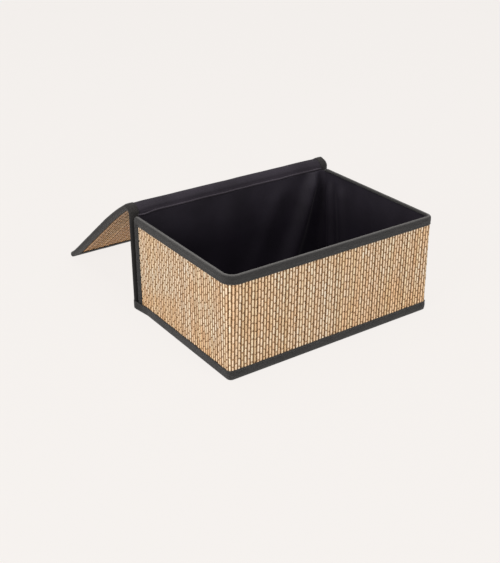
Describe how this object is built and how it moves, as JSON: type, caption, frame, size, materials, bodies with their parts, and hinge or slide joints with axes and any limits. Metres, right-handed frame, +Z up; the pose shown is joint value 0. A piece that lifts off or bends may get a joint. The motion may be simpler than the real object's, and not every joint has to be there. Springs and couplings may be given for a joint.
{
  "type": "lidded woven storage basket",
  "caption": "Rectangular woven seagrass storage basket with bound edges, a cloth lining and an attached lid that folds back behind it.",
  "frame": {"origin": "centre of the box's footprint at the level it stands on", "axes": "+X to the right along the long walls seen from the front, +Y from the front wall to the rear wall and the folded-back lid, +Z up"},
  "size_m": [0.3586, 0.4687, 0.1649],
  "materials": {
    "seagrass_weave": "warp-faced plain weave of dry seagrass ribs, cream to tan with dark gaps",
    "binding_tape": "charcoal twill binding tape, matt",
    "lining_cloth": "black non-woven lining cloth with a soft sheen",
    "base_cloth": "black non-woven cloth under the base, matt",
    "stiffener_board": "plain grey-brown stiffening board, hidden",
    "sewing_thread": "charcoal sewing thread"
  },
  "bodies": {
    "box": {"wrap_mat": "seagrass_weave", "rear_mat": "seagrass_weave", "hinge_mat": "seagrass_weave", "left_board": "stiffener_board", "right_board": "stiffener_board", "front_board": "stiffener_board", "rear_board": "stiffener_board", "base_board": "stiffener_board", "box_lining": "lining_cloth", "hinge_lining": "lining_cloth", "base_cover": "base_cloth", "rim_tape": "binding_tape", "base_tape": "binding_tape", "left_corner_tape": "binding_tape", "right_corner_tape": "binding_tape", "left_rear_tape": "binding_tape", "right_rear_tape": "binding_tape", "left_hinge_tape": "binding_tape", "right_hinge_tape": "binding_tape", "rim_thread": "sewing_thread", "base_thread": "sewing_thread", "left_corner_thread": "sewing_thread", "right_corner_thread": "sewing_thread", "left_rear_thread": "sewing_thread", "right_rear_thread": "sewing_thread"},
    "lid": {"lid_mat": "seagrass_weave", "lid_board": "stiffener_board", "lid_lining": "lining_cloth", "left_lid_tape": "binding_tape", "right_lid_tape": "binding_tape", "front_lid_tape": "binding_tape", "lid_lining_thread": "sewing_thread", "lid_mat_thread": "sewing_thread"}
  },
  "joints": [
    {"name": "lid_fold", "type": "hinge", "parent": "box", "child": "lid", "pos_m": [0, 0.12764, 0.16213], "axis": [1, 0, 0], "range_deg": [0, 218.5], "deforming": ["hinge_mat", "hinge_lining", "left_hinge_tape", "right_hinge_tape"]}
  ]
}
